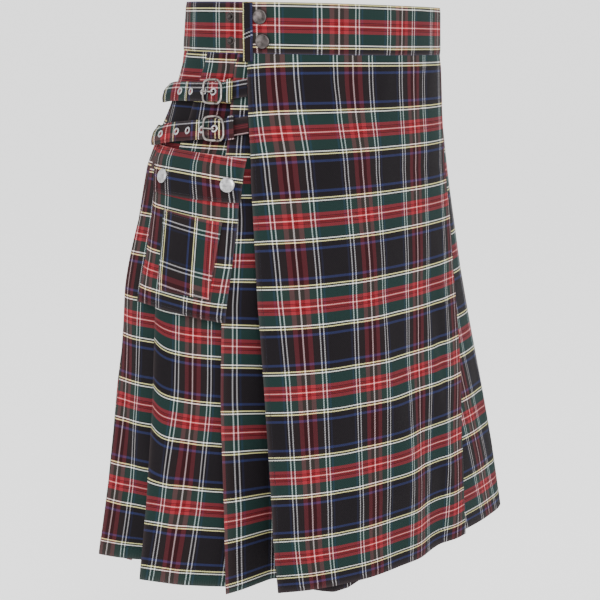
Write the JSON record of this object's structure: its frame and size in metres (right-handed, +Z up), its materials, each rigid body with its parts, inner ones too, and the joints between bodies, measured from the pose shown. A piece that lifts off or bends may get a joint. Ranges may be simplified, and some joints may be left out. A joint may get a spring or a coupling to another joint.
{
  "type": "kilt",
  "caption": "Tartan wrap kilt with knife pleats, held in the shape of a wearer's hips, with a snapped waistband, a flapped hip pocket and buckled hip straps.",
  "frame": {"origin": "centre of the waist opening, at half the height of the waistband", "axes": "+Z up the wearer's body, -Y to the wearer's front, -X to the wearer's right"},
  "size_m": [0.555, 0.4008, 0.6285],
  "materials": {
    "tartan": "twill-woven tartan: black and green grounds, red bands, fine white, yellow and blue lines; soft, slightly brushed",
    "tartan_band": "the same tartan cut so that a red band runs along the waistband, stiffened",
    "tartan_strap": "the same tartan cut narrow and folded double, edge-stitched",
    "tartan_pocket": "the same tartan, with the centre panel's cloth turned a quarter turn",
    "gunmetal": "dark polished metal, warm grey",
    "silver": "bright satin nickel"
  },
  "bodies": {
    "root": {"over_apron": "tartan", "under_apron": "tartan", "right_hip_pleats": "tartan", "right_back_pleats": "tartan", "left_hip_pleats": "tartan", "left_back_pleats": "tartan", "waistband_over": "tartan_band", "waistband_under": "tartan_band", "band_end_binding": "tartan_band", "pocket_body": "tartan_pocket", "pocket_centre_panel": "tartan_pocket", "pocket_flap": "tartan_pocket", "pocket_snap_front": "silver", "pocket_snap_rear": "silver", "waist_snap_upper": "gunmetal", "waist_snap_lower": "gunmetal", "waist_stud_upper": "gunmetal", "waist_stud_lower": "gunmetal", "strap_upper": "tartan_strap", "buckle_tab_upper": "tartan_strap", "keeper_upper": "tartan_strap", "buckle_frame_upper": "gunmetal", "buckle_bar_upper": "gunmetal", "buckle_prong_upper": "gunmetal", "strap_lower": "tartan_strap", "buckle_tab_lower": "tartan_strap", "keeper_lower": "tartan_strap", "buckle_frame_lower": "gunmetal", "buckle_bar_lower": "gunmetal", "buckle_prong_lower": "gunmetal", "eyelet_upper_1": "silver", "eyelet_upper_2": "silver", "eyelet_upper_3": "silver", "eyelet_upper_4": "silver", "eyelet_lower_1": "silver", "eyelet_lower_2": "silver", "eyelet_lower_3": "silver", "eyelet_lower_4": "silver", "eyelet_lower_5": "silver"}
  },
  "joints": []
}
